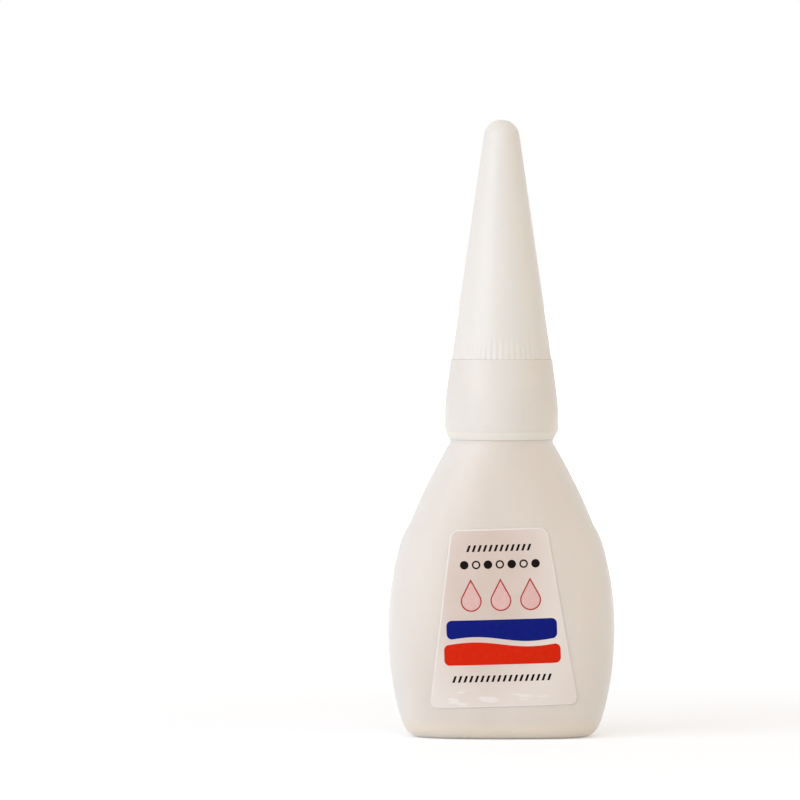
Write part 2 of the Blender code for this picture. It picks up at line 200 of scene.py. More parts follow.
# Label
LABEL_TOP_WIDTH = 16.2
LABEL_BOTTOM_WIDTH = 25.1
LABEL_HEIGHT = 30.1
LABEL_MIDDLE_Z = 20.8
LABEL_CORNER = 1.3
LABEL_TILT = math.radians(1.7)
LABEL_BASE = 0.03
LABEL_THICKNESS = 0.16
LABEL_BORDER = 0.26
LABEL_COLUMNS = 44
LABEL_ROWS = 46
LABEL_CORNER_ROWS = 7
INK_LIFT = 0.012
INK_STEP = 0.55


# Meshes


def new_object(name, data):
    """Object in the scene for a mesh, a lamp or a camera."""
    made = bpy.data.objects.new(name, data)
    bpy.context.scene.collection.objects.link(made)
    return made


def smooth_object(name, mesh, material, sharp_deg):
    """Object for a mesh, shaded smooth over edges up to the sharp angle."""
    mesh.materials.append(material)
    mesh.shade_smooth()
    mesh.set_sharp_from_angle(angle=math.radians(sharp_deg))
    return new_object(name, mesh)


def add_mesh(name, points, faces, material, sharp_deg=40.0):
    """Object from points in millimetres and their faces."""
    mesh = bpy.data.meshes.new(name)
    mesh.from_pydata([(x * MM, y * MM, z * MM) for x, y, z in points], [], faces)
    mesh.validate()
    return smooth_object(name, mesh, material, sharp_deg)


def place(piece, body, slot, *nodes):
    """Lets a piece ride on its body and stand for CAD nodes, whose meshes it hides; slot is not used."""
    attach(piece, body)
    if nodes:
        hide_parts(*nodes)


def skin(rings, loop=False):
    """Points and faces of a tube through rings of equal count that run upwards.

    Its ends are capped, or its last ring meets its first one if it is a loop.
    """
    count = len(rings[0])
    points = [point for ring in rings for point in ring]
    faces = []
    for row in range(len(rings) if loop else len(rings) - 1):
        low, high = row * count, (row + 1) % len(rings) * count
        for i in range(count):
            j = (i + 1) % count
            faces.append((low + i, low + j, high + j, high + i))
    if not loop:
        last = (len(rings) - 1) * count
        faces.append(tuple(range(count - 1, -1, -1)))
        faces.append(tuple(range(last, last + count)))
    return points, faces


def spread(low, high, count):
    """Even values from low to high, both included."""
    return [low + (high - low) * step / count for step in range(count + 1)]


def smooth_step(share):
    """Eases from 0 to 1."""
    share = min(max(share, 0.0), 1.0)
    return share * share * (3.0 - 2.0 * share)


def cubic(t, start, pull_start, pull_end, end):
    """Value of a cubic curve with two control values."""
    s = 1 - t
    return s**3 * start + 3 * t * s**2 * pull_start + 3 * t * t * s * pull_end + t**3 * end


def fillet(corner, before, after, radius, steps=4):
    """Points of a rounded corner in a profile, between the neighbours before and after it."""
    corner, before, after = Vector(corner), Vector(before), Vector(after)
    start = corner + (before - corner).normalized() * radius
    end = corner + (after - corner).normalized() * radius
    points = []
    for t in spread(0.0, 1.0, steps):
        point = (1 - t) ** 2 * start + 2 * t * (1 - t) * corner + t * t * end
        points.append((point.x, point.y))
    return points


def rounded(outline, closed=False):
    """Profile (radius, z, fillet) with its corners rounded; a fillet of 0 keeps the corner sharp."""
    points = []
    count = len(outline)
    for i, (radius, z, turn) in enumerate(outline):
        before, after = outline[i - 1], outline[(i + 1) % count]
        if turn and (closed or 0 < i < count - 1):
            points += fillet((radius, z), before[:2], after[:2], turn)
        else:
            points.append((radius, z))
    return points


# Flask


def swept(half, below, above, z):
    """Half size of the body at z, on the arc below or above the belly."""
    sweep = below if z < BELLY_Z else above
    return half - sweep + math.sqrt(sweep**2 - (z - BELLY_Z) ** 2)


def flask_half(half, below, above, z):
    """Half size at z in one view: arc, a short blend at the shoulder's corner, then the shoulder."""
    at_kink = swept(half, below, above, SHOULDER_Z)

    def shoulder(level):
        share = (level - SHOULDER_Z) / (SHOULDER_END_Z - SHOULDER_Z)
        wave = SHOULDER_WAVE * math.sin(TAU * math.sqrt(share))
        return at_kink - (at_kink - LAND_RADIUS) * (share + wave)

    low, high = SHOULDER_Z - SHOULDER_BLEND, SHOULDER_Z + SHOULDER_BLEND
    if z <= low:
        return swept(half, below, above, z)
    if z >= high:
        return shoulder(z)
    t = (z - low) / (high - low)
    start, end = swept(half, below, above, low), shoulder(high)
    return (1 - t) ** 2 * start + 2 * t * (1 - t) * (at_kink + SHOULDER_CREST) + t**2 * end


def half_width(z):
    return flask_half(BELLY_HALF_WIDTH, FRONT_SWEEP_BELOW, FRONT_SWEEP_ABOVE, z)


def half_depth(z):
    return flask_half(BELLY_HALF_DEPTH, SIDE_SWEEP, SIDE_SWEEP, z)


def squareness(z):
    """Exponent of the section: a squarish oval at the belly, round at the neck."""
    share = smooth_step((z - BELLY_Z) / (SHOULDER_END_Z - BELLY_Z))
    return BELLY_SQUARENESS + (2.0 - BELLY_SQUARENESS) * share


def ring_angles():
    """Even angles with a few extra ones at the two mould seams, which lie at both ends of X."""
    angles = {float(angle) for angle in range(0, 360, 2)}
    for seam in (0.0, 180.0):
        for offset in SEAM_OFFSETS_DEG:
            angles |= {(seam + offset) % 360.0, (seam - offset) % 360.0}
    return [math.radians(angle) for angle in sorted(angles)]


ANGLES = ring_angles()


def seam_height(angle):
    """How far the mould seam stands proud at an angle round the flask."""
    off_deg = math.degrees(abs(math.sin(angle)))
    return SEAM_PROUD * math.exp(-((off_deg / SEAM_WIDTH_DEG) ** 2))


def ripple(x, y, z):
    """Slow unevenness that a blown wall keeps."""
    first = math.sin(x * 0.31 + z * 0.17 + 0.6) * math.sin(z * 0.23 + y * 0.4)
    second = math.sin(x * 0.55 - z * 0.41 + 2.1) * math.sin(y * 0.37 + z * 0.12 + 1.3)
    return WAVE * (0.6 * first + 0.4 * second)


def section(across, along, exponent, z, relief=0.0):
    """Superellipse ring; relief scales the seam and the wall's unevenness."""
    ring = []
    for angle in ANGLES:
        c, s = math.cos(angle), math.sin(angle)
        reach = (abs(c) ** exponent + abs(s) ** exponent) ** (-1.0 / exponent)
        x, y = across * reach * c, along * reach * s
        if relief:
            nx = math.copysign(abs(x / across) ** (exponent - 1) / across, x)
            ny = math.copysign(abs(y / along) ** (exponent - 1) / along, y)
            length = math.hypot(nx, ny)
            proud = relief * (seam_height(angle) + ripple(x, y, z))
            x, y = x + nx / length * proud, y + ny / length * proud
        ring.append((x, y, z))
    return ring


def under_rings(lift, steps):
    """Hollow of the base, from its middle out to the standing ring."""
    rings = []
    for t in spread(0.0, 1.0, steps):
        inset = PUSH_UP_INNER + (FOOT_RING_INNER - PUSH_UP_INNER) * t
        across, along = half_width(FOOT_RADIUS) - inset, half_depth(FOOT_RADIUS) - inset
        z = lift + PUSH_UP_HEIGHT * (1 - smooth_step(t))
        rings.append(section(across, along, BELLY_SQUARENESS, z))
    return rings


def foot_reach(half, inset, t, step=0.5):
    """Half size of the rounded foot in one view, from the standing ring at 0 to the wall at 1."""
    flat = half(FOOT_RADIUS) - FOOT_RADIUS
    top = half(FOOT_TOP_Z) - inset
    slope = (half(FOOT_TOP_Z + step) - half(FOOT_TOP_Z)) / step
    return cubic(t, flat, flat + FOOT_PULL_OUT, top - slope * FOOT_PULL_UP, top)


def foot_rings(inset, relief, steps):
    """Rounded foot from the standing ring up into the side wall."""
    rings = []
    for t in spread(0.0, 1.0, steps):
        across, along = foot_reach(half_width, inset, t), foot_reach(half_depth, inset, t)
        z = cubic(t, inset, inset, FOOT_TOP_Z - FOOT_PULL_UP, FOOT_TOP_Z)
        rings.append(section(across, along, BELLY_SQUARENESS, z, relief * t))
    return rings


def wall_rings(inset, top, relief, rows):
    """Rings of the side wall and shoulder above the foot, up to top."""
    low, high = SHOULDER_Z - SHOULDER_BLEND, SHOULDER_Z + SHOULDER_BLEND
    levels = spread(FOOT_TOP_Z, low, rows)[1:] + spread(low, high, 8)[1:]
    levels += spread(high, SHOULDER_END_Z, rows // 3)[1:]
    levels = [z for z in levels if z < top - RING_GAP] + [top]
    return [
        section(half_width(z) - inset, half_depth(z) - inset, squareness(z), z, relief)
        for z in levels
    ]


def neck_rings():
    """Land, neck, snap bead, mouth and bore; the outline's ends only aim its first and last bend."""
    outline = [
        (LAND_RADIUS + 0.1, SHOULDER_END_Z - 0.2, 0),
        (LAND_RADIUS, SHOULDER_END_Z + 0.05, 0.1),
        (LAND_RADIUS, LAND_Z, 0.05),
        (NECK_RADIUS, LAND_Z, 0.15),
        (NECK_RADIUS, BEAD_LOW_Z, 0.1),
        (BEAD_RADIUS, BEAD_LOW_Z, 0.2),
        (BEAD_RADIUS, BEAD_HIGH_Z, 0.3),
        (NECK_RADIUS, BEAD_END_Z, 0.3),
        (NECK_RADIUS, MOUTH_Z, 0.3),
        (NECK_BORE, MOUTH_Z, 0.15),
        (NECK_BORE, LAND_Z - WALL / 2, 0.3),
        (NECK_BORE + 1.3, LAND_Z - 1.4, 0),
    ]
    return [section(radius, radius, 2.0, z) for radius, z in rounded(outline)[1:-1]]


def make_flask(material):
    """One hollow shell: up its outside, over the mouth and down its inside."""
    outside = under_rings(0.0, steps=8) + foot_rings(0.0, relief=1.0, steps=12)
    outside += wall_rings(0.0, SHOULDER_END_Z - SHOULDER_END_BLEND, relief=1.0, rows=44)
    inside = wall_rings(WALL, SHOULDER_END_Z - WALL, relief=0.0, rows=24)[::-1]
    inside += foot_rings(WALL, relief=0.0, steps=8)[::-1] + under_rings(WALL, steps=6)[::-1]
    points, faces = skin(outside + neck_rings() + inside)
    return add_mesh("flask", points, faces, material)


def make_scar(material):
    """Ragged ridge under the base where the mould pinched the soft tube of plastic shut."""
    angles = spread(0.0, TAU, SCAR_SIDES)[:-1]
    rings = []
    for step in range(SCAR_STEPS + 1):
        t = step / SCAR_STEPS
        x = SCAR_LENGTH * (t - 0.5)
        swell = math.sin(math.pi * t) ** 0.5 if 0 < t < 1 else 0.0
        ragged = 1.0 + SCAR_RAGGED * math.sin(step * 1.7) * math.sin(step * 0.6 + 1.0)
        height = SCAR_END_HEIGHT + SCAR_HEIGHT * swell * ragged
        width = SCAR_END_HALF_WIDTH + SCAR_HALF_WIDTH * swell
        ring = []
        for angle in angles:
            ring.append((x, width * math.cos(angle), PUSH_UP_HEIGHT - height * math.sin(angle)))
        rings.append(ring)
    points, faces = skin(rings)
    return add_mesh("pinch_scar", points, faces, material)


def make_adhesive(material):
    """Liquid inside the wall, its surface drawn up at the edge."""
    inset = WALL + FILL_GAP
    edge_z = FILL_Z + MENISCUS_RISE
    rings = under_rings(inset, steps=6) + foot_rings(inset, relief=0.0, steps=8)
    rings += wall_rings(inset, edge_z, relief=0.0, rows=24)
    across, along = half_width(edge_z) - inset, half_depth(edge_z) - inset
    for drawn in MENISCUS_STEPS:
        z = FILL_Z + MENISCUS_RISE * math.exp(-drawn / MENISCUS_REACH)
        rings.append(section(across - drawn, along - drawn, squareness(FILL_Z), z))
    points, faces = skin(rings)
    return add_mesh("adhesive_fill", points, faces, material)


# Turned pieces


def around(radius, z, segments, radial):
    """Turned ring; radial, if given, says how far it reaches at each angle."""
    ring = []
    for step in range(segments):
        angle = TAU * step / segments
        reach = radial(radius, z, angle) if radial else radius
        ring.append((reach * math.cos(angle), reach * math.sin(angle), z))
    return ring


def turn(name, profile, material, segments, radial=None, loop=False, sharp_deg=40.0):
    """Turned piece from a profile (radius, z): capped on the axis, or a loop that stays off it."""
    rings = [around(radius, z, segments, radial) for radius, z in profile]
    points, faces = skin(rings, loop)
    return add_mesh(name, points, faces, material, sharp_deg)


def skirt_outline():
    """Outside of the nozzle's skirt, upwards, drawn in towards the deck."""
    points = [
        (SKIRT_RADIUS - SKIRT_FOOT_DRAW, SKIRT_BOTTOM, 0.04),
        (SKIRT_RADIUS, SKIRT_BOTTOM + SKIRT_FOOT_HEIGHT, 0.3),
    ]
    top = DECK_TOP - 0.3
    for z in spread(SKIRT_FULL_Z - 1.0, top, 14)[:-1]:
        share = max((z - SKIRT_FULL_Z) / (top - SKIRT_FULL_Z), 0.0) ** SKIRT_CURVE
        points.append((SKIRT_RADIUS - (SKIRT_RADIUS - SKIRT_TOP_RADIUS) * share, z, 0))
    points.append((SKIRT_TOP_RADIUS, DECK_TOP, 0.08))
    return points


def make_nozzle(material):
    """One turned moulding: up its outside, down through the outlet, round the plug and the bead."""
    outline = skirt_outline() + [
        (STUB_RADIUS, DECK_TOP, 0.2),
        (STUB_RADIUS, STUB_TOP, 0.4),
        (SPOUT_FOOT_RADIUS, STUB_TOP, 0.5),
        (SPOUT_TIP_RADIUS, SPOUT_TOP, 0.25),
        (OUTLET_RADIUS, SPOUT_TOP, 0.1),
        (OUTLET_RADIUS, SPOUT_TOP - OUTLET_LENGTH, 0.8),
        (TAPER_RADIUS, TAPER_FOOT_Z, 0.5),
        (THROAT_RADIUS, THROAT_TOP, 0.5),
        (THROAT_RADIUS, DECK_TOP, 0.3),
        (PLUG_BORE, DECK_BOTTOM, 0.2),
        (PLUG_BORE, PLUG_BOTTOM, 0.2),
        (PLUG_RADIUS - PLUG_LEAD_IN, PLUG_BOTTOM, 0.1),
        (PLUG_RADIUS, PLUG_BOTTOM + 0.5, 0.2),
        (PLUG_RADIUS, DECK_BOTTOM, 0.1),
        (SKIRT_BORE, DECK_BOTTOM, 0.1),
        (SKIRT_BORE, BEAD_END_Z + CLEARANCE, 0.2),
        (SNAP_RADIUS, BEAD_HIGH_Z + CLEARANCE, 0.2),
        (SNAP_RADIUS, BEAD_LOW_Z - CLEARANCE, 0.2),
        (SKIRT_BORE, BEAD_LOW_Z - 3 * CLEARANCE, 0.2),
        (SKIRT_BORE, SKIRT_BOTTOM, 0.15),
    ]
    profile = rounded(outline, closed=True)
    return turn("nozzle_moulding", profile, material, segments=160, loop=True)


def make_thread(name, wall, crest, phase, material):
    """One thread start: a trapezoid ridge up a right-handed helix, its ends run out smoothly."""
    sunk = wall - math.copysign(THREAD_SUNK, crest - wall)
    rings = []
    for share in spread(0.0, 1.0, int(THREAD_STEPS_PER_TURN * THREAD_TURNS)):
        angle = phase + TAU * THREAD_TURNS * share
        z = THREAD_START_Z + THREAD_LEAD * THREAD_TURNS * share
        run = smooth_step(min(share, 1 - share) * THREAD_TURNS * THREAD_RUN_OUTS_PER_TURN)
        top = wall + (crest - wall) * (THREAD_END_HEIGHT + (1 - THREAD_END_HEIGHT) * run)
        thickness = THREAD_END_THICKNESS + (1 - THREAD_END_THICKNESS) * run
        corners = [(sunk, -THREAD_FOOT), (top, -THREAD_LAND), (top, THREAD_LAND), (sunk, THREAD_FOOT)]
        if crest < wall:
            corners.reverse()
        ring = []
        for radius, offset in corners:
            level = z + offset * thickness
            ring.append((radius * math.cos(angle), radius * math.sin(angle), level))
        rings.append(ring)
    points, faces = skin(rings)
    return add_mesh(name, points, faces, material, sharp_deg=30.0)


CAP_SLOPE = (CAP_RIM_RADIUS - CAP_TIP_RADIUS) / (CAP_HEIGHT - CAP_TIP_RADIUS)


def cap_radius(rise):
    """Radius of the cap's cone at a rise over the CAD rim."""
    return CAP_RIM_RADIUS - CAP_SLOPE * rise


def grooved(radius, z, angle):
    """Radius of the cap with the grip grooves cut into its outer skin near the rim."""
    rise = z - CAP_RIM_Z
    if radius < cap_radius(rise) - OUTER_SKIN:
        return radius
    fade = 1.0 - smooth_step((rise - GROOVE_FULL_HEIGHT) / (GROOVE_HEIGHT - GROOVE_FULL_HEIGHT))
    valley = (0.5 - 0.5 * math.cos(GROOVES * angle)) ** GROOVE_SHARPNESS
    return radius - GROOVE_DEPTH * fade * valley


def cap_inside():
    """Bore, cone, seat over the spout and socket of the pin, as (radius, rise) from the rim up."""
    socket_radius = PIN_RADIUS + CLEARANCE
    return rounded(
        [
            (CAP_MOUTH + 0.2, -RIM_DROP, 0),
            (CAP_MOUTH, -RIM_DROP, 0.08),
            (CAP_BORE, 0.1, 0.1),
            (CAP_BORE, CAP_BORE_HEIGHT, 0.2),
            (CAP_CONE_RADIUS, CAP_CONE_FOOT, 0.2),
            (CAP_SEAT_RADIUS, CAP_SEAT, 0.2),
            (socket_radius, CAP_SEAT, 0.1),
            (socket_radius, CAP_SEAT + SOCKET_DEPTH, 0.15),
            (AXIS_RADIUS, CAP_SEAT + SOCKET_DEPTH, 0),
        ]
    )


def cap_outside():
    """Rim, cone, domed tip and the gate mark at its top, as (radius, rise) from the rim up."""
    low = -RIM_DROP
    tangent = math.atan(CAP_SLOPE)
    dome_rise = CAP_HEIGHT - CAP_TIP_RADIUS
    cone_end = dome_rise + CAP_TIP_RADIUS * math.sin(tangent)
    dome_radius = cap_radius(cone_end) / math.cos(tangent)
    cone = spread(low + 0.1, GROOVE_HEIGHT, 14) + spread(GROOVE_HEIGHT, cone_end - 0.6, 22)[1:]
    outline = [(cap_radius(low) - RIM_BREAK, low), (cap_radius(low) - 0.02, low + 0.03)]
    outline += [(cap_radius(rise), rise) for rise in cone]
    for angle in spread(tangent, math.radians(DOME_END_DEG), 16):
        outline.append((dome_radius * math.cos(angle), dome_rise + CAP_TIP_RADIUS * math.sin(angle)))
    outline.append((GATE_RADIUS, CAP_HEIGHT - 0.03))
    outline.append((GATE_RADIUS - 0.06, CAP_HEIGHT - GATE_DEPTH + 0.01))
    outline.append((AXIS_RADIUS, CAP_HEIGHT - GATE_DEPTH))
    return outline


def make_cap(material, segments_per_groove=10):
    """One shell: down its inside from the pin's socket, round the rim and up its outside."""
    profile = [(radius, CAP_RIM_Z + rise) for radius, rise in cap_inside()[:0:-1] + cap_outside()]
    segments = GROOVES * segments_per_groove
    return turn("cap_shell", profile, material, segments, radial=grooved, sharp_deg=50.0)


def make_pin(material):
    """Needle with its point down."""
    outline = [
        (0.01, PIN_LOW_Z),
        (0.06, PIN_LOW_Z + 0.2),
        (PIN_RADIUS - 0.05, PIN_LOW_Z + 1.05),
        (PIN_RADIUS, PIN_LOW_Z + 1.3),
        (PIN_RADIUS, PIN_HIGH_Z - 0.15),
        (PIN_RADIUS - 0.07, PIN_HIGH_Z),
        (0.01, PIN_HIGH_Z),
    ]
    return turn("clog_pin", outline, material, segments=32)


# Label


# Places where the film stands off: u, v, reach in u, reach in v and height
PUCKERS = (
    (-3.6, 2.75, 4.6, 0.42, 0.09),
    (-7.4, 1.9, 0.5, 1.1, 0.08),
    (-4.3, 1.5, 0.7, 1.2, 0.07),
    (4.6, 3.0, 2.2, 0.35, 0.05),
    (2.2, 1.2, 0.6, 0.8, 0.04),
)


def pucker(u, v):
    """How far the film stands off where it was pressed on badly, near its foot."""
    stand = 0.0
    for middle_u, middle_v, across, along, height in PUCKERS:
        stand += height * math.exp(-(((u - middle_u) / across) ** 2) - ((v - middle_v) / along) ** 2)
    return stand


def on_front(u, v, lift):
    """Point over the flask's front from label coordinates: u across, v up from the label's foot."""
    if lift > LABEL_BASE:
        lift += pucker(u, v)
    up = v - LABEL_HEIGHT / 2
    x = u * math.cos(LABEL_TILT) - up * math.sin(LABEL_TILT)
    z = LABEL_MIDDLE_Z + u * math.sin(LABEL_TILT) + up * math.cos(LABEL_TILT)
    across, along, exponent = half_width(z), half_depth(z), squareness(z)
    share = min(abs(x) / across, 0.999)
    y = along * (1 - share**exponent) ** (1 / exponent)
    nx = math.copysign(share ** (exponent - 1) / across, x)
    ny = (y / along) ** (exponent - 1) / along
    length = math.hypot(nx, ny)
    stand = lift + ripple(x, -y, z)
    return (x + nx / length * stand, -y - ny / length * stand, z)


def label_edge(v, inset):
    """Half the label's width at v, drawn in by inset and with its corners rounded."""
    slope = (LABEL_BOTTOM_WIDTH - LABEL_TOP_WIDTH) / 2 / LABEL_HEIGHT
    half = LABEL_BOTTOM_WIDTH / 2 - slope * v - inset
    corner = LABEL_CORNER - inset
    from_end = min(v - inset, LABEL_HEIGHT - inset - v)
    if from_end < corner:
        left = corner - max(from_end, 0.0)
        half -= corner - math.sqrt(max(corner**2 - left**2, 0.0))
    return half


def label_rows(inset):
    """Levels of the label's grid, closer together at its rounded corners."""
    corner = LABEL_CORNER - inset
    angles = spread(0.0, math.pi / 2, LABEL_CORNER_ROWS)
    rise = [inset + corner * (1 - math.cos(angle)) for angle in angles]
    rows = rise + spread(LABEL_CORNER, LABEL_HEIGHT - LABEL_CORNER, LABEL_ROWS)[1:-1]
    return rows + [LABEL_HEIGHT - v for v in reversed(rise)]


def edge_loop(rows, columns):
    """Keys of a grid's outermost points, once round from its first corner."""
    loop = [(0, col) for col in range(columns + 1)]
    loop += [(row, columns) for row in range(1, rows)]
    loop += [(rows - 1, col) for col in range(columns - 1, -1, -1)]
    loop += [(row, 0) for row in range(rows - 2, 0, -1)]
    return loop


def make_label(film, ground):
    """Film with a bare border round its printed ground, thickened with a rolled edge; the border's paler
    colour is partly a painted edge highlight.
    """
    inner_rows, outer_rows = label_rows(LABEL_BORDER), label_rows(0.0)
    rows = len(inner_rows)
    points, faces = [], []

    def add(row, col, inset, lift):
        """Point at an inset from the film's edge: the printed ground ends at LABEL_BORDER."""
        share = 1.0 - inset / LABEL_BORDER
        v = inner_rows[row] + (outer_rows[row] - inner_rows[row]) * share
        half = label_edge(inner_rows[row], LABEL_BORDER)
        half += (label_edge(outer_rows[row], 0.0) - half) * share
        points.append(on_front(half * (2 * col / LABEL_COLUMNS - 1), v, lift))
        return len(points) - 1

    top = {}
    for row in range(rows):
        for col in range(LABEL_COLUMNS + 1):
            top[row, col] = add(row, col, LABEL_BORDER, LABEL_THICKNESS)
    cells = [(row, col) for row in range(rows - 1) for col in range(LABEL_COLUMNS)]
    for row, col in cells:
        faces.append((top[row, col], top[row, col + 1], top[row + 1, col + 1], top[row + 1, col]))

    loop = edge_loop(rows, LABEL_COLUMNS)
    rims = [[top[key] for key in loop]]
    rolled = (
        (0.07, LABEL_THICKNESS),
        (0.02, LABEL_THICKNESS - 0.02),
        (0.0, LABEL_THICKNESS - 0.06),
        (0.0, LABEL_BASE),
    )
    for inset, lift in rolled:
        rims.append([add(row, col, inset, lift) for row, col in loop])
    for inner, outer in zip(rims, rims[1:]):
        for i in range(len(loop)):
            j = (i + 1) % len(loop)
            faces.append((inner[i], outer[i], outer[j], inner[j]))

    under = dict(zip(loop, rims[-1]))
    for row in range(1, rows - 1):
        for col in range(1, LABEL_COLUMNS):
            under[row, col] = add(row, col, 0.0, LABEL_BASE)
    for row, col in cells:
        faces.append((under[row, col], under[row + 1, col], under[row + 1, col + 1], under[row, col + 1]))

    label = add_mesh("label_film", points, faces, film, sharp_deg=60.0)
    label.data.materials.append(ground)
    for polygon in label.data.polygons[: len(cells)]:
        polygon.material_index = 1
    return label


# Print


def filled(loops):
    """Flat face between closed loops of (u, v), the holes last."""
    flat = bmesh.new()
    edges = []
    for loop in loops:
        verts = [flat.verts.new((u, v, 0.0)) for u, v in loop]
        edges += [flat.edges.new(pair) for pair in zip(verts, verts[1:] + verts[:1])]
    bmesh.ops.triangle_fill(flat, use_beauty=True, use_dissolve=False, edges=edges)
    return flat


def cut_fine(flat):
    """Cuts a flat face along even lines, so that it can bend round the flask."""
    for axis, normal in enumerate((Vector((1, 0, 0)), Vector((0, 1, 0)))):
        levels = [vert.co[axis] for vert in flat.verts]
        cut, end = (math.floor(min(levels) / INK_STEP) + 1) * INK_STEP, max(levels)
        while cut < end:
            geom = flat.verts[:] + flat.edges[:] + flat.faces[:]
            bmesh.ops.bisect_plane(flat, geom=geom, plane_co=normal * cut, plane_no=normal, dist=0.0001)
            cut += INK_STEP
    for face in flat.faces:
        if face.normal.z < 0:
            face.normal_flip()
    flat.normal_update()


def thicken(flat, solid):
    """Adds a flat face to a solid as a thin slab that follows the film."""

    def lifted(lift):
        made = {}
        for vert in flat.verts:
            made[vert] = solid.verts.new(Vector(on_front(vert.co.x, vert.co.y, lift)) * MM)
        return made

    top, low = lifted(LABEL_THICKNESS + INK_LIFT), lifted(LABEL_THICKNESS - INK_LIFT)
    for face in flat.faces:
        solid.faces.new([top[vert] for vert in face.verts])
        solid.faces.new([low[vert] for vert in reversed(face.verts[:])])
    for edge in flat.edges:
        if len(edge.link_faces) == 1:
            walk = edge.link_loops[0]
            a, b = walk.vert, walk.link_loop_next.vert
            solid.faces.new((top[b], top[a], low[a], low[b]))


def ink(name, shapes, material):
    """Printed shapes as thin solids on the film; each shape is a list of loops, the holes last."""
    solid = bmesh.new()
    for loops in shapes:
        flat = filled(loops)
        cut_fine(flat)
        thicken(flat, solid)
        flat.free()
    mesh = bpy.data.meshes.new(name)
    solid.to_mesh(mesh)
    solid.free()
    return smooth_object(name, mesh, material, sharp_deg=40.0)


def on_arc(u, v, radius, angles):
    """Points round a centre, one at each angle."""
    return [(u + radius * math.cos(angle), v + radius * math.sin(angle)) for angle in angles]


def disc(u, v, radius, steps=28):
    return on_arc(u, v, radius, spread(0.0, TAU, steps)[:-1])


def hatch(left, right, low, high, pitch=0.92, width=0.40, slant=0.42):
    """Row of slanted strokes, one shape each."""
    room = right - left - slant - width
    count = int(room / pitch) + 1
    strokes = []
    for u in spread(left, left + room, count - 1):
        strokes.append([[(u, low), (u + width, low), (u + width + slant, high), (u + slant, high)]])
    return strokes


def without_repeats(points, nearest=0.004):
    """Outline without points that lie on each other."""
    kept = []
    for point in points:
        if not kept or math.dist(point, kept[-1]) > nearest:
            kept.append(point)
    if math.dist(kept[0], kept[-1]) <= nearest:
        kept.pop()
    return kept


def between(start, end, share):
    return (start[0] + (end[0] - start[0]) * share, start[1] + (end[1] - start[1]) * share)


def drop(u, foot, height, grow, fullness=0.32, tip_growth=2.2):
    """Outline of a drop that hangs from its point, grown outwards by grow, and more at its tip."""
    radius = height * fullness + grow
    centre = foot + height * fullness
    tip = (u, foot + height + grow * tip_growth)
    lean = math.acos(radius / (tip[1] - centre))
    points = on_arc(u, centre, radius, spread(math.pi / 2 - lean, lean - 3 * math.pi / 2, 40))
    rise = [between(points[-1], tip, share) for share in (0.35, 0.7)]
    fall = [between(points[0], tip, share) for share in (0.7, 0.35)]
    return without_repeats(points + rise + [tip] + fall)


def band(half_length, low, high, wave_low, wave_high, radius=0.9):
    """Outline of a band with rounded corners whose lower and upper edges may wave."""
    left, right = radius - half_length, half_length - radius

    def edge(level, wave, u):
        return level + wave * math.sin(TAU * (u + half_length) / (2 * half_length))

    def corner(u, v, quarter):
        start = quarter * math.pi / 2
        return on_arc(u, v, radius, spread(start, start + math.pi / 2, 5))

    points = [(u, edge(low, wave_low, u)) for u in spread(left, right, 30)]
    points += corner(right, edge(low, wave_low, right) + radius, -1)
    points += corner(right, edge(high, wave_high, right) - radius, 0)
    points += [(u, edge(high, wave_high, u)) for u in spread(right, left, 30)]
    points += corner(left, edge(high, wave_high, left) - radius, 1)
    points += corner(left, edge(low, wave_low, left) + radius, 2)
    return without_repeats(points)


# Material nodes


def shader_of(name):
    """New node material, its tree and its main shader."""
    material = bpy.data.materials.new(name)
    material.use_nodes = True
    tree = material.node_tree
    return material, tree, tree.nodes["Principled BSDF"]


def add_node(tree, kind, values=None, links=None):
    """New node whose inputs, by name or number, take values or the outputs of other nodes."""
    made = tree.nodes.new(kind)
    for key, value in (values or {}).items():
        made.inputs[key].default_value = value
    for key, source in (links or {}).items():
        tree.links.new(source, made.inputs[key])
    return made


def combine(tree, operation, first, second):
    """Result of a math operation on two outputs."""
    made = add_node(tree, "ShaderNodeMath", links={0: first, 1: second})
    made.operation = operation
    return made.outputs[0]


def object_coords(tree, output="Object"):
    return tree.nodes.new("ShaderNodeTexCoord").outputs[output]


def axes_of(tree, vector):
    """Outputs X, Y and Z of a vector."""
    return add_node(tree, "ShaderNodeSeparateXYZ", links={0: vector}).outputs


def length_of(tree, vector):
    """Length of a vector."""
    made = add_node(tree, "ShaderNodeVectorMath", links={0: vector})
    made.operation = "LENGTH"
    return made.outputs["Value"]


def noise(tree, scale, detail, stretch=1.0):
    """Noise in object space, in features per metre, drawn out along Z where stretch is under 1."""
    mapping = add_node(tree, "ShaderNodeMapping", {"Scale": (1.0, 1.0, stretch)})
    tree.links.new(object_coords(tree), mapping.inputs["Vector"])
    values = {"Scale": scale, "Detail": detail}
    return add_node(tree, "ShaderNodeTexNoise", values, {"Vector": mapping.outputs[0]}).outputs[0]


def ramp(tree, source, low, high, start=0.3, end=0.7):
    """Colour that runs from low to high with a value."""
    made = add_node(tree, "ShaderNodeValToRGB", links={0: source})
    for stop, position, colour in zip(made.color_ramp.elements, (start, end), (low, high)):
        stop.position = position
        stop.color = (*colour, 1.0)
    return made.outputs[0]


def remap(tree, source, from_range, to_range, smooth=False):
    """Value moved from one range to another and held at its ends."""
    names = ("From Min", "From Max", "To Min", "To Max")
    values = dict(zip(names, (*from_range, *to_range)))
    made = add_node(tree, "ShaderNodeMapRange", values, {"Value": source})
    if smooth:
        made.interpolation_type = "SMOOTHSTEP"
    return made.outputs[0]


def vary(tree, source, low, high):
    """Noise as a value that runs from low to high."""
    return remap(tree, source, (0.3, 0.7), (low, high))


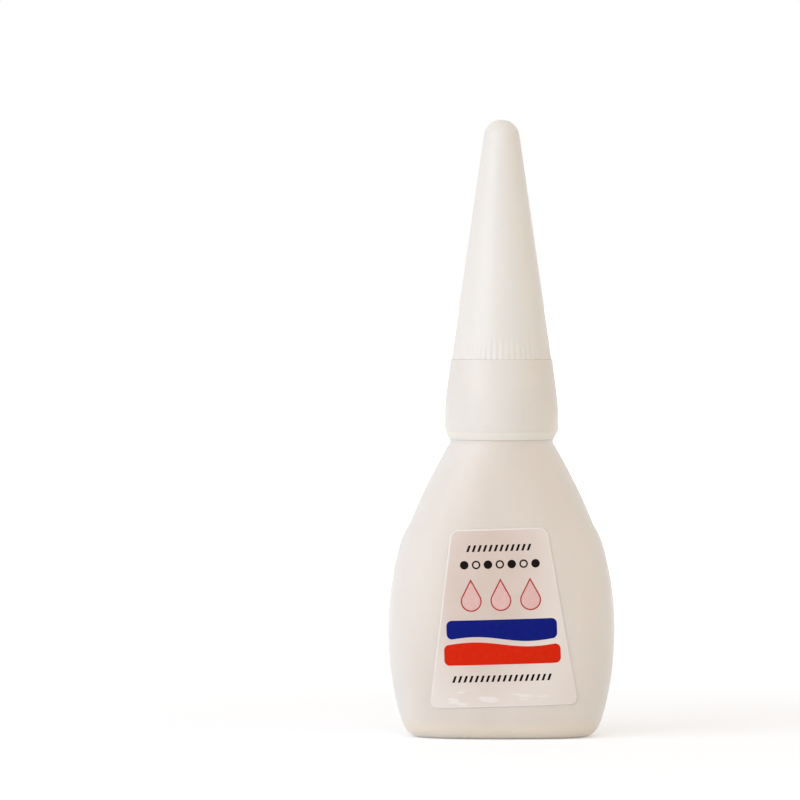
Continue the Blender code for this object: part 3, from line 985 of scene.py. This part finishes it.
def bump(tree, shader, source, depth, strength, under=None):
    """Surface detail on the shader, on top of another bump if one is given."""
    links = {"Height": source}
    if under:
        links["Normal"] = under.outputs["Normal"]
    made = add_node(tree, "ShaderNodeBump", {"Strength": strength, "Distance": depth}, links)
    tree.links.new(made.outputs["Normal"], shader.inputs["Normal"])
    return made


def mix_to(tree, colour, painted_light, share):
    """Colour that turns to a painted light colour with a share from 0 to 1."""
    mixed = tree.nodes.new("ShaderNodeMix")
    mixed.data_type = "RGBA"
    tree.links.new(share, mixed.inputs["Factor"])
    tree.links.new(colour, mixed.inputs["A"])
    mixed.inputs["B"].default_value = (*painted_light, 1.0)
    return mixed.outputs["Result"]


# Materials


def paint_end_glow(tree, colour, painted_light):
    """Painted light: paler where the surface faces along X, standing in for light that passes through the
    milky wall at the flask's sides.
    """
    sideways = axes_of(tree, object_coords(tree, "Normal"))["X"]
    return mix_to(tree, colour, painted_light, combine(tree, "MULTIPLY", sideways, sideways))


def paint_fold_glow(tree, colour, painted_light):
    """Painted light: paler in narrow gaps and on undersides, lifting their shade as if milky plastic
    passed light into them.
    """
    gap = add_node(tree, "ShaderNodeAmbientOcclusion", {"Distance": 0.001}).outputs["AO"]
    upward = axes_of(tree, object_coords(tree, "Normal"))["Z"]
    glow_in_gaps = remap(tree, gap, from_range=(0.97, 0.6), to_range=(0.0, 1.0))
    under = remap(tree, upward, from_range=(-0.22, -0.42), to_range=(0.0, 0.9))
    return mix_to(tree, colour, painted_light, combine(tree, "MAXIMUM", glow_in_gaps, under))


def plastic(name, low, high, fold_glow, roughness, grain, scatter, depth, streak, haze=0.0, end_glow=None):
    """Moulded polyolefin: faint milky mottling, flow streaks, fine mould grain, light inside the wall,
    painted light in gaps and on undersides and, if given, painted light at the ends.

    Grain is how high the mould's texture stands and depth how far light goes, both in metres.
    """
    material, tree, shader = shader_of(name)
    mottle = noise(tree, scale=110.0, detail=4.0, stretch=streak)
    polish = noise(tree, scale=420.0, detail=3.0, stretch=streak)
    slow = noise(tree, scale=260.0, detail=2.0, stretch=streak)
    fine = noise(tree, scale=2600.0, detail=2.0)
    colour = ramp(tree, mottle, low, high)
    # Painted light: paler base colour where the wall faces along X
    if end_glow:
        colour = paint_end_glow(tree, colour, end_glow)
    # Painted light: paler base colour in gaps and on undersides
    tree.links.new(paint_fold_glow(tree, colour, fold_glow), shader.inputs["Base Color"])
    tree.links.new(vary(tree, polish, roughness - 0.05, roughness + 0.06), shader.inputs["Roughness"])
    waves = bump(tree, shader, slow, depth=grain * 2.2, strength=0.5)
    bump(tree, shader, fine, depth=grain, strength=0.5, under=waves)
    shader.inputs["IOR"].default_value = 1.5
    shader.inputs["Subsurface Weight"].default_value = scatter
    shader.inputs["Subsurface Radius"].default_value = (1.0, 0.82, 0.66)
    shader.inputs["Subsurface Scale"].default_value = depth
    shader.inputs["Sheen Weight"].default_value = haze
    shader.inputs["Sheen Roughness"].default_value = 0.4
    return material


def printed(name, worn, colour):
    """Ink on film: slight mottling of the coverage and a dry sheen."""
    material, tree, shader = shader_of(name)
    speck = noise(tree, scale=1500.0, detail=4.0)
    sheen = noise(tree, scale=700.0, detail=2.0)
    tint = ramp(tree, speck, worn, colour, start=0.25, end=0.5)
    tree.links.new(tint, shader.inputs["Base Color"])
    tree.links.new(vary(tree, sheen, 0.36, 0.50), shader.inputs["Roughness"])
    bump(tree, shader, speck, depth=0.000003, strength=0.4)
    shader.inputs["Specular IOR Level"].default_value = 0.08
    return material


def paint_label_light(tree, colour, painted_light):
    """Painted light: paler towards the label's edges, its right one most, and painted glare streaks at
    its foot.
    """
    place_in = object_coords(tree)
    # An ellipse over the front: its great reach along Y leaves Y out
    ellipse = {"Location": (-0.003, 0.0, 0.027), "Scale": (0.0145, 1000.0, 0.026)}
    from_middle = add_node(tree, "ShaderNodeMapping", ellipse, {"Vector": place_in})
    from_middle.vector_type = "TEXTURE"
    reach = length_of(tree, from_middle.outputs[0])
    # Painted highlight: paler towards the ellipse's rim
    edges = remap(tree, reach, (0.3, 1.0), (0.0, 0.75), smooth=True)
    # Painted glare: pale streaks near the label's foot
    streak = vary(tree, noise(tree, scale=210.0, detail=2.0, stretch=4.0), -1.0, 1.7)
    foot = remap(tree, axes_of(tree, place_in)["Z"], (0.0075, 0.0093), (1.0, 0.0))
    glare_streaks = combine(tree, "MULTIPLY", streak, foot)
    return mix_to(tree, colour, painted_light, combine(tree, "MAXIMUM", glare_streaks, edges))


def film_material(name, low, high, painted_light=None):
    """Label film with slow mottling and, if a colour for painted light is given, with painted light
    towards its edges and painted glare streaks at its foot.
    """
    material, tree, shader = shader_of(name)
    tone = noise(tree, scale=240.0, detail=3.0)
    polish = noise(tree, scale=900.0, detail=2.0)
    slow = noise(tree, scale=180.0, detail=2.0)
    fine = noise(tree, scale=3200.0, detail=2.0)
    colour = ramp(tree, tone, low, high)
    if painted_light:
        colour = paint_label_light(tree, colour, painted_light)
    tree.links.new(colour, shader.inputs["Base Color"])
    tree.links.new(vary(tree, polish, 0.34, 0.46), shader.inputs["Roughness"])
    waves = bump(tree, shader, slow, depth=0.00006, strength=0.5)
    bump(tree, shader, fine, depth=0.000004, strength=0.4, under=waves)
    return material


def steel_material():
    """Drawn wire, with fine lines along it."""
    material, tree, shader = shader_of("drawn_steel")
    lines = noise(tree, scale=1800.0, detail=3.0, stretch=0.05)
    colour = ramp(tree, lines, (0.5, 0.5, 0.51), (0.66, 0.66, 0.67))
    tree.links.new(colour, shader.inputs["Base Color"])
    tree.links.new(vary(tree, lines, 0.2, 0.32), shader.inputs["Roughness"])
    shader.inputs["Metallic"].default_value = 1.0
    return material


def liquid_material():
    """Clear, thin adhesive."""
    material, tree, shader = shader_of("clear_adhesive")
    haze = noise(tree, scale=90.0, detail=2.0)
    colour = ramp(tree, haze, (0.93, 0.93, 0.88), (0.97, 0.97, 0.94))
    tree.links.new(colour, shader.inputs["Base Color"])
    shader.inputs["Roughness"].default_value = 0.02
    shader.inputs["IOR"].default_value = 1.45
    shader.inputs["Transmission Weight"].default_value = 0.9
    return material


# Colour of the painted light in the gaps and undersides of nozzle and cap
FOLD_GLOW = (0.985, 0.925, 0.85)
flask_plastic = plastic(
    "flask_plastic",
    low=(0.805, 0.737, 0.670),
    high=(0.85, 0.787, 0.725),
    # Colour of the painted light in the flask's gaps and under its foot
    fold_glow=(0.92, 0.82, 0.70),
    # Colour of the painted light at the flask's sides
    end_glow=(0.89, 0.865, 0.84),
    roughness=0.34,
    grain=0.00002,
    scatter=0.6,
    depth=0.001,
    streak=0.3,
    haze=0.35,
)
nozzle_plastic = plastic(
    "nozzle_plastic",
    low=(0.828, 0.795, 0.747),
    high=(0.867, 0.836, 0.788),
    fold_glow=FOLD_GLOW,
    roughness=0.36,
    grain=0.000012,
    scatter=0.55,
    depth=0.0006,
    streak=1.0,
)
cap_plastic = plastic(
    "cap_plastic",
    low=(0.855, 0.834, 0.792),
    high=(0.896, 0.875, 0.838),
    fold_glow=FOLD_GLOW,
    roughness=0.34,
    grain=0.00001,
    scatter=0.5,
    depth=0.0005,
    streak=0.25,
)
# Bare border of the film, its pale colour partly a painted edge highlight
border_film_highlight = film_material("border_film_highlight", (0.88, 0.83, 0.80), (0.92, 0.87, 0.84))
printed_ground = film_material(
    # Last colour: painted light at the label's edges and in glare streaks
    "printed_ground", (0.722, 0.603, 0.538), (0.762, 0.641, 0.577), (0.93, 0.885, 0.835)
)
blue_ink = printed("blue_ink", (0.005, 0.014, 0.225), (0.003, 0.010, 0.20))
red_ink = printed("red_ink", (0.77, 0.028, 0.004), (0.74, 0.020, 0.002))
black_ink = printed("black_ink", (0.010, 0.006, 0.006), (0.006, 0.003, 0.003))
outline_ink = printed("outline_ink", (0.56, 0.09, 0.08), (0.48, 0.05, 0.045))
pink_ink = printed("pink_ink", (0.86, 0.60, 0.57), (0.82, 0.53, 0.50))
steel = steel_material()
liquid = liquid_material()


# Pieces of the bottle and its cap

place(make_flask(flask_plastic), "bottle_body", "bottle_plastic", "bottle")
place(make_scar(flask_plastic), "bottle_body", "bottle_plastic")
place(make_adhesive(liquid), "bottle_body", "adhesive_liquid", "adhesive")
place(make_nozzle(nozzle_plastic), "bottle_body", "nozzle_plastic", "nozzle")
outer_thread = make_thread("nozzle_thread", STUB_RADIUS, STUB_CREST, 0.0, nozzle_plastic)
place(outer_thread, "bottle_body", "nozzle_plastic")
place(make_cap(cap_plastic), "cap_body", "cap_plastic", "cap")
inner_thread = make_thread("cap_thread", CAP_BORE, BORE_CREST, math.pi, cap_plastic)
place(inner_thread, "cap_body", "cap_plastic")
place(make_pin(steel), "cap_carrier", "pin_steel", "cap_pin")
place(make_label(border_film_highlight, printed_ground), "bottle_body", "label_film", "front_label")

# Print on the label, from three outlined drops across its middle to the row of discs and rings

DROPS_U = (-5.0, 0.0, 5.0)
DROP_FOOT, DROP_HEIGHT = 16.4, 5.0
OUTLINE_OUT, OUTLINE_IN, FILL_IN = 0.16, -0.06, -0.07
RINGS_V, RING_RADIUS, RING_HOLE = 24.1, 0.72, 0.46


def drop_at(u, grow):
    return drop(u, DROP_FOOT, DROP_HEIGHT, grow)


def ring_at(u):
    return [disc(u, RINGS_V, RING_RADIUS), disc(u, RINGS_V, RING_HOLE)[::-1]]


outlines = [[drop_at(u, OUTLINE_OUT), drop_at(u, OUTLINE_IN)[::-1]] for u in DROPS_U]
fills = [[drop_at(u, FILL_IN)] for u in DROPS_U]
strokes = hatch(left=-5.6, right=5.4, low=26.3, high=27.4)
strokes += hatch(left=-8.6, right=8.2, low=4.3, high=5.4)
blue_band = band(half_length=9.3, low=11.5, high=14.8, wave_low=0.45, wave_high=0.0)
red_band = band(half_length=9.8, low=7.2, high=10.6, wave_low=0.0, wave_high=0.45)
dots = [[disc(u, RINGS_V, RING_RADIUS)] for u in (-6.0, -2.0, 2.0, 6.0)]
dots += [ring_at(u) for u in (-4.0, 0.0, 4.0)]

PRINT = (
    ("drop_outlines", outlines, outline_ink),
    ("drop_fills", fills, pink_ink),
    ("hatching", strokes, black_ink),
    ("blue_band", [[blue_band]], blue_ink),
    ("red_band", [[red_band]], red_ink),
    ("discs_and_rings", dots, black_ink),
)
for print_name, shapes, print_ink in PRINT:
    place(ink(print_name, shapes, print_ink), "bottle_body", "label_film")


# Stage


def seen_directly(tree):
    """1 for rays that come from the eye, a mirror-like surface or through a clear one, else 0."""
    path = tree.nodes.new("ShaderNodeLightPath").outputs
    eye = combine(tree, "MAXIMUM", path["Is Camera Ray"], path["Is Glossy Ray"])
    return combine(tree, "MAXIMUM", eye, path["Is Transmission Ray"])


def whiten(tree, surface, near, far, reach):
    """Adds light that only the eye sees, near at the middle of the stage and far beyond its reach."""
    away = length_of(tree, object_coords(tree))
    glow_by = remap(tree, away, reach, (near, far), smooth=True)
    strength = combine(tree, "MULTIPLY", glow_by, seen_directly(tree))
    glow = add_node(tree, "ShaderNodeEmission", links={"Strength": strength})
    return add_node(tree, "ShaderNodeAddShader", links={0: surface, 1: glow.outputs[0]}).outputs[0]


def make_floor(side=6.0):
    """Pale paper floor, in metres, that turns white to the eye away from the bottle."""
    material, tree, paper = shader_of("floor_paper")
    paper.inputs["Base Color"].default_value = (0.87, 0.90, 0.945, 1.0)
    paper.inputs["Roughness"].default_value = 0.9
    paper.inputs["Specular IOR Level"].default_value = 0.1
    surface = whiten(tree, paper.outputs[0], near=0.31, far=0.85, reach=(0.06, 0.40))
    tree.links.new(surface, tree.nodes["Material Output"].inputs["Surface"])
    mesh = bpy.data.meshes.new("floor")
    corners = [(-side, -side, 0), (side, -side, 0), (side, side, 0), (-side, side, 0)]
    mesh.from_pydata(corners, [], [(0, 1, 2, 3)])
    mesh.materials.append(material)
    return new_object("floor", mesh)


def make_world():
    """Warm, even light from all round, which the eye sees as white."""
    world = bpy.data.worlds.new("studio")
    bpy.context.scene.world = world
    world.use_nodes = True
    tree = world.node_tree
    warm = tree.nodes["Background"]
    warm.inputs["Color"].default_value = (1.0, 0.932, 0.858, 1.0)
    warm.inputs["Strength"].default_value = 0.632
    white = add_node(tree, "ShaderNodeBackground", {"Color": (1.0, 1.0, 1.0, 1.0), "Strength": 1.0})
    choice = {0: seen_directly(tree), 1: warm.outputs[0], 2: white.outputs[0]}
    mix = add_node(tree, "ShaderNodeMixShader", links=choice)
    tree.links.new(mix.outputs[0], tree.nodes["World Output"].inputs["Surface"])


def look(made, location, aim):
    """Puts an object at a location with its -Z axis towards aim."""
    made.location = location
    made.rotation_euler = (Vector(aim) - Vector(location)).to_track_quat("-Z", "Y").to_euler()


def area_light(name, location, size, power, colour):
    """Rectangular lamp that faces the middle of the bottle."""
    data = bpy.data.lights.new(name, "AREA")
    data.shape = "RECTANGLE"
    data.size, data.size_y = size
    data.energy = power
    data.color = colour
    look(new_object(name, data), location, (0.0, 0.0, 0.05))


# Camera at the cap's height, aimed left of the bottle; PIXEL is what one pixel covers there
PIXEL = 0.0001703
PIXELS_ACROSS = 800.0
PIXELS_LEFT = 101.5
SENSOR_WIDTH = 36.0
EYE = Vector((0.0, -1.0, 0.085))
AIM = Vector((-PIXELS_LEFT * PIXEL, 0.0, 0.0573))


def make_camera():
    data = bpy.data.cameras.new("camera")
    data.sensor_width = SENSOR_WIDTH
    data.lens = SENSOR_WIDTH * (AIM - EYE).length / (PIXELS_ACROSS * PIXEL)
    data.clip_start = 0.05
    made = new_object("camera", data)
    look(made, EYE, AIM)
    return made


make_floor()
make_world()
area_light(
    "key", location=(-0.746, -0.626, 0.443), size=(0.9, 0.9), power=4.42, colour=(0.863, 0.902, 1.0)
)
area_light(
    "front", location=(0.0, -0.966, 0.92), size=(0.5, 0.5), power=0.92, colour=(0.917, 0.97, 1.0)
)
area_light(
    "side", location=(0.862, -0.314, 0.296), size=(0.6, 0.8), power=0.78, colour=(1.0, 0.556, 0.05)
)
bpy.context.scene.camera = make_camera()
bpy.context.scene.view_settings.view_transform = "Standard"
